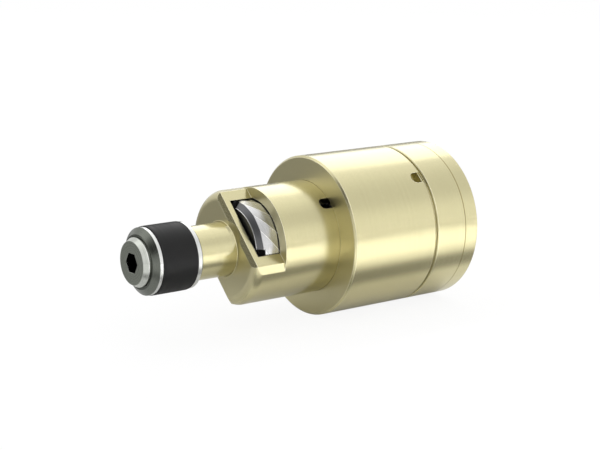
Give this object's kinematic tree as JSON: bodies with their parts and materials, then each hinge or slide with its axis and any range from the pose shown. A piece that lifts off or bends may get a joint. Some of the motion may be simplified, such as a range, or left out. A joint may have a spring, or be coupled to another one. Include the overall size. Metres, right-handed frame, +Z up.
{
  "type": "internal expansion quick connector",
  "caption": "Air-driven quick connector whose hollow draw tube squeezes a rubber sleeve on its nose so that it seals inside a smooth round port.",
  "frame": {"origin": "centre of the rear mounting face and of its circle of mounting holes", "axes": "+Y along the connector's axis out of the rear face, the seal nose towards -Y, +Z up"},
  "size_m": [0.053, 0.1194, 0.053],
  "materials": {
    "gold_anodised": "satin, pale gold anodised",
    "plain_aluminium": "turned",
    "stainless_steel": "fine turned",
    "spring_steel": "drawn",
    "bronze": "bored",
    "black_rubber": "ground, matt",
    "guide_plastic": "plain"
  },
  "bodies": {
    "housing": {"front_body": "gold_anodised", "barrel": "gold_anodised", "rear_cap": "gold_anodised", "end_plate": "gold_anodised", "end_plate_screws": "stainless_steel", "bulkhead": "plain_aluminium", "bulkhead_seal": "black_rubber", "retaining_ring": "spring_steel", "body_pin": "stainless_steel", "nose_bush": "bronze", "rod_bush": "bronze", "rod_seal": "black_rubber", "tail_bush": "bronze", "tail_seal": "black_rubber", "rear_washer": "stainless_steel", "seal_sleeve": "black_rubber", "return_spring": "spring_steel", "air_tube": "stainless_steel", "port_seal": "black_rubber"},
    "plunger": {"draw_tube": "stainless_steel", "seal_bolt": "stainless_steel", "front_washer": "stainless_steel", "bolt_seal": "black_rubber", "piston": "plain_aluminium", "piston_seal": "black_rubber", "piston_guide_ring": "guide_plastic", "piston_nut": "stainless_steel", "air_tube_seal": "black_rubber"},
    "spring_seat": {"spring_seat": "stainless_steel"},
    "adjusting_ring": {"adjusting_ring": "stainless_steel"}
  },
  "joints": [
    {"name": "draw", "type": "slide", "parent": "housing", "child": "plunger", "axis": [0, 1, 0], "range_m": [0, 0.003], "stiffness_N_per_m": 6000, "springref_m": -0.002, "deforming": ["seal_sleeve", "return_spring"]},
    {"name": "seat_travel", "type": "slide", "parent": "plunger", "child": "spring_seat", "axis": [0, 1, 0], "range_m": [0, 0.003]},
    {"name": "ring_turn", "type": "hinge", "parent": "spring_seat", "child": "adjusting_ring", "pos_m": [0, -0.0769, 0], "axis": [0, 1, 0], "range_deg": [0, 720]}
  ],
  "couplings": [
    {"joint": "seat_travel", "follows": "ring_turn", "m_per_rad": 0.00023873}
  ]
}
